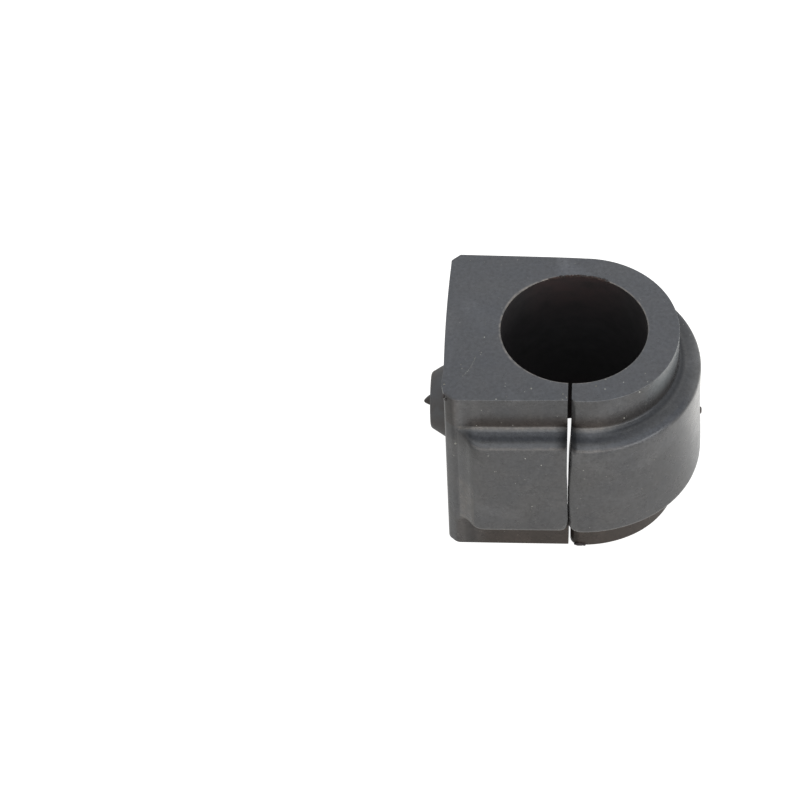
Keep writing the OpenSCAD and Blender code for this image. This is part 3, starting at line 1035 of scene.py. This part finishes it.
class BUSHING_OT_boss(bpy.types.Operator):
    """Build the locating boss with the gate's stub"""
    bl_idname = "bushing.boss"
    bl_label = "Locating boss"

    def execute(self, context):
        d = context.scene.bushing_detail
        base = -context.scene.bushing_body.base_distance
        slope = math.atan2(d.boss_root - d.boss_top, d.boss_height)
        edge = d.boss_top - d.boss_round * (1 - math.sin(slope)) / math.cos(slope)
        r = d.boss_round
        profile = [(d.boss_root + 0.5 * MM, -0.3 * MM), (d.boss_root + 0.25 * MM, 0.02 * MM),
                   (d.boss_root + 0.08 * MM, 0.08 * MM), (d.boss_root - 0.08 * MM, 0.25 * MM)]
        for turn in spread(slope, math.pi / 2, 7):
            profile.append((edge + r * math.cos(turn), d.boss_height - r + r * math.sin(turn)))
        profile.append((0.0, d.boss_height))
        mesh = turned_mesh("locating_boss", profile,
                           lambda a, b, h: Vector((base - h, a, b)), 72, 0.0, 3)
        top = base - d.boss_height
        tilt = 0.35 * MM

        def stub_place(a, b, h):
            share = h / d.gate_height
            return Vector((top - h, a - 0.2 * tilt * share, b + tilt * (0.25 - share)))

        stub = [(d.gate_radius * 1.25, -0.3 * MM), (d.gate_radius * 1.15, 0.0)]
        for share, wide in ((0.12, 0.98), (0.35, 0.82), (0.6, 0.60), (0.8, 0.40), (0.93, 0.22),
                            (1.0, 0.0)):
            stub.append((d.gate_radius * wide, d.gate_height * share))
        gate = turned_mesh("gate_stub", stub, stub_place, 28, 0.1, 11)
        finish = context.scene.bushing_finish
        dull = speckled_material("boss_rubber", finish.boss, finish.boss_brown, 0.52, 260.0)
        add_piece("locating_boss", mesh, [dull])
        torn = speckled_material("stub_rubber", finish.boss_brown, finish.flash, 0.6, 900.0)
        add_piece("gate_stub", gate, [torn])
        return {"FINISHED"}


class BUSHING_OT_marks(bpy.types.Operator):
    """Build the marks that the mould leaves"""
    bl_idname = "bushing.marks"
    bl_label = "Moulding marks"

    def execute(self, context):
        d = context.scene.bushing_detail
        s = context.scene.bushing_body
        back = s.back_shift + s.back_reach + s.band_height
        back += s.back_swell * fade(5 * MM, -10 * MM, -1.6 * MM)
        r, h = d.pip_radius, d.pip_height
        profile = [(r, -0.3 * MM), (r, 0.0), (r * 0.85, h * 0.7), (r * 0.6, h), (0.0, h)]
        mesh = turned_mesh("vent_pip", profile,
                           lambda a, b, k: Vector((back + k, a, b - 1.6 * MM)), 32, 0.05, 5)
        finish = context.scene.bushing_finish
        torn = speckled_material("flash_rubber", finish.flash_pale, finish.flash, 0.6, 1500.0)
        add_piece("vent_pip", mesh, [torn])
        add_piece("rim_flash", rim_flash_mesh(s), [torn])
        crumbs = speckled_material("crumb_rubber", finish.flash, finish.bore, 0.7, 1500.0)
        add_piece("rim_crumbs", lumps_mesh("rim_crumbs", rim_crumbs(s)), [crumbs])
        black = speckled_material("torn_rubber", finish.bore_mouth, finish.bore, 0.7, 900.0)
        lumps = [lump((1.3, -16.86, -18.28), (0.85, 0.34, 0.30), 4),
                 lump((2.1, -16.86, -18.32), (0.42, 0.26, 0.26), 5),
                 lump((0.75, -16.78, -18.34), (0.34, 0.22, 0.24), 6)]
        add_piece("split_flash", lumps_mesh("split_flash", lumps), [black])
        lumps = [lump((-21.46, -15.20, 17.85), (0.14, 0.24, 0.50), 7),
                 lump((-21.12, -15.78, 17.62), (0.26, 0.20, 0.20), 8)]
        add_piece("corner_nick", lumps_mesh("corner_nick", lumps), [black])
        dust = speckled_material("dust", finish.dust, finish.dust_dark, 0.9, 1200.0)
        add_piece("dust_specks", lumps_mesh("dust_specks", dust_lumps(s)), [dust])
        return {"FINISHED"}


class BUSHING_OT_stage(bpy.types.Operator):
    """Set up the floor, the lamps and the camera"""
    bl_idname = "bushing.stage"
    bl_label = "Studio"

    def execute(self, context):
        scene = context.scene
        studio = scene.bushing_studio
        under = -studio_depth()
        mesh = bpy.data.meshes.new("floor")
        w = 3.0
        mesh.from_pydata([(-w, -w, under), (w, -w, under), (w, w, under), (-w, w, under)],
                         [], [(0, 1, 2, 3)])
        mesh.materials.append(floor_material(studio))
        floor = bpy.data.objects.new("floor", mesh)
        scene.collection.objects.link(floor)
        scene.world = room_world(studio)
        front = add_lamp("front_panel", (0.02, -0.8, 0.13), (0, 0, 0), 1.3, studio.front_power,
                         (1.0, 0.90, 0.80))
        front.data.shape = "RECTANGLE"
        front.data.size_y = 0.40
        add_lamp("high_panel", (0.05, -0.42, 0.80), (0, 0, 0), 1.2, studio.key_power,
                 (0.90, 0.95, 1.0))
        add_lamp("right_panel", (0.62, -0.46, 0.02), (0, 0, 0), 0.5, studio.right_power,
                 (0.97, 0.98, 1.0))
        pool = add_lamp("floor_spot", (0.054, 0.034, 0.30), (0.054, 0.034, 0), 0, studio.pool_power,
                        (1.0, 0.99, 0.97))
        pool.data.spot_size = math.radians(14)
        pool.data.spot_blend = 0.5
        add_camera(scene, studio.lens)
        scene.view_settings.view_transform = "Standard"
        return {"FINISHED"}


def add_lamp(name, at, target, size, power, rgb):
    """Square soft lamp, or a spot where the size is nothing."""
    lamp = bpy.data.lights.new(name, "AREA" if size else "SPOT")
    if size:
        lamp.shape = "SQUARE"
        lamp.size = size
    lamp.energy = power
    lamp.color = rgb
    made = bpy.data.objects.new(name, lamp)
    made.location = at
    made.rotation_euler = (Vector(target) - Vector(at)).to_track_quat("-Z", "Y").to_euler()
    bpy.context.scene.collection.objects.link(made)
    return made


def add_camera(scene, lens):
    """Camera at the photograph's place, aimed as it was."""
    data = bpy.data.cameras.new("photo_camera")
    data.lens = lens
    data.sensor_width = 36.0
    data.clip_start = 0.01
    camera = bpy.data.objects.new("photo_camera", data)
    camera.location = (0.006202, -0.380386, 0.422766)
    camera.rotation_euler = [math.radians(a) for a in (42.05129, 2.11736, 3.13282)]
    scene.collection.objects.link(camera)
    scene.camera = camera


class BUSHING_PT_panel(bpy.types.Panel):
    """Lists the bushing's pieces"""
    bl_idname = "BUSHING_PT_panel"
    bl_label = "Sway bar bushing"
    bl_space_type = "VIEW_3D"
    bl_region_type = "UI"
    bl_category = "Bushing"

    def draw(self, context):
        for operator in OPERATORS:
            self.layout.operator(operator.bl_idname)
        for group in GROUPS:
            box = self.layout.box()
            settings = getattr(context.scene, group)
            for key in settings.bl_rna.properties.keys():
                if key not in ("rna_type", "name"):
                    box.prop(settings, key)


OPERATORS = (BUSHING_OT_body, BUSHING_OT_boss, BUSHING_OT_marks, BUSHING_OT_stage)
GROUPS = {"bushing_body": BodySizes, "bushing_detail": DetailSizes,
          "bushing_finish": Finish, "bushing_studio": Studio}


def register():
    for group in GROUPS.values():
        bpy.utils.register_class(group)
    for key, group in GROUPS.items():
        setattr(bpy.types.Scene, key, bpy.props.PointerProperty(type=group))
    for operator in OPERATORS:
        bpy.utils.register_class(operator)
    bpy.utils.register_class(BUSHING_PT_panel)


def unregister():
    bpy.utils.unregister_class(BUSHING_PT_panel)
    for operator in reversed(OPERATORS):
        bpy.utils.unregister_class(operator)
    for key in GROUPS:
        delattr(bpy.types.Scene, key)
    for group in reversed(GROUPS.values()):
        bpy.utils.unregister_class(group)


def main():
    register()
    bpy.ops.bushing.body()
    bpy.ops.bushing.boss()
    bpy.ops.bushing.marks()
    bpy.ops.bushing.stage()


if __name__ == "__main__":
    main()
